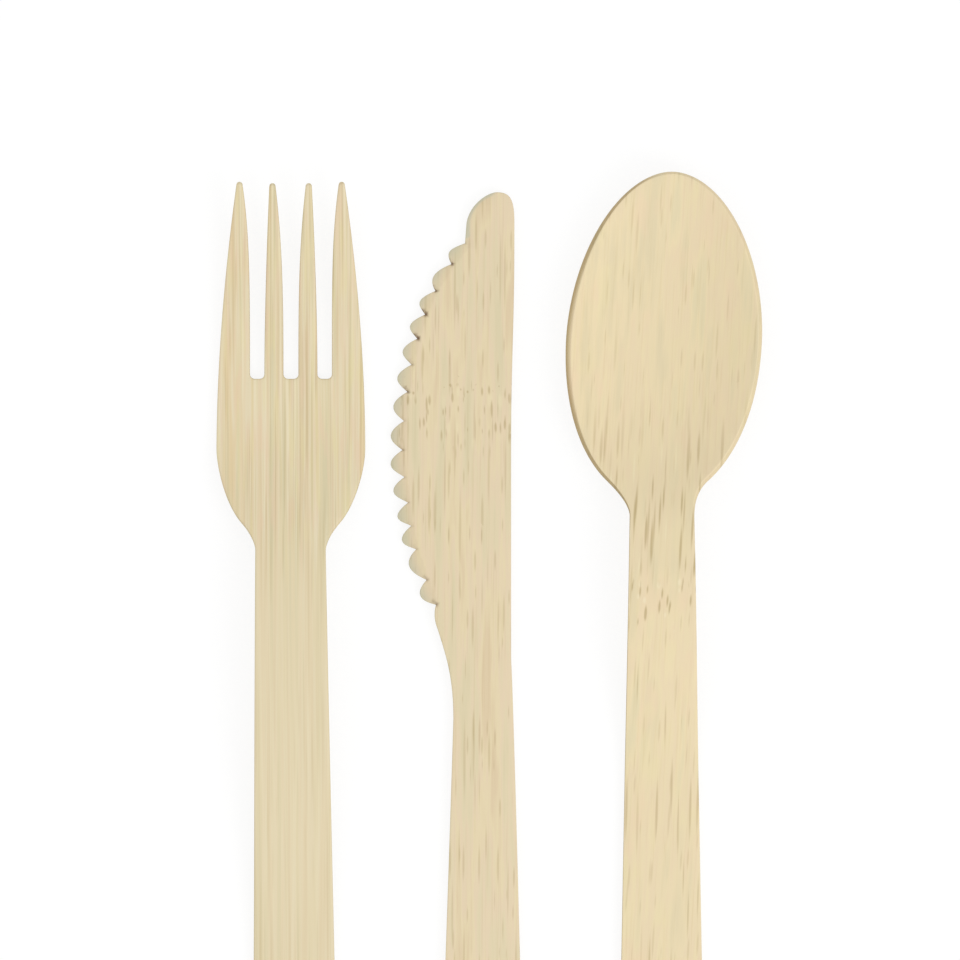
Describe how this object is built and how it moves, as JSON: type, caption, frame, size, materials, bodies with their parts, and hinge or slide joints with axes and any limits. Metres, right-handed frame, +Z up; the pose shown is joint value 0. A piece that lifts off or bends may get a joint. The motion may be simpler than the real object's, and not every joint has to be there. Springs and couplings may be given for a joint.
{
  "type": "bamboo cutlery set",
  "caption": "Disposable bamboo tableware: a tined fork, a knife with a scalloped edge and an oval spoon, lying side by side.",
  "frame": {"origin": "centre of the set's footprint, on the surface that it lies on", "axes": "+Y along the utensils towards the heads, +X across the set from the fork to the spoon, +Z up"},
  "size_m": [0.0994, 0.1736, 0.0081],
  "materials": {
    "bamboo_edge_grain": "smooth tumbled bamboo, long straight fibres, unvarnished",
    "bamboo_flat_grain": "smooth tumbled bamboo, short dark fibre flecks, unvarnished"
  },
  "bodies": {
    "root": {"fork": "bamboo_edge_grain", "knife": "bamboo_flat_grain", "spoon": "bamboo_flat_grain"}
  },
  "joints": []
}
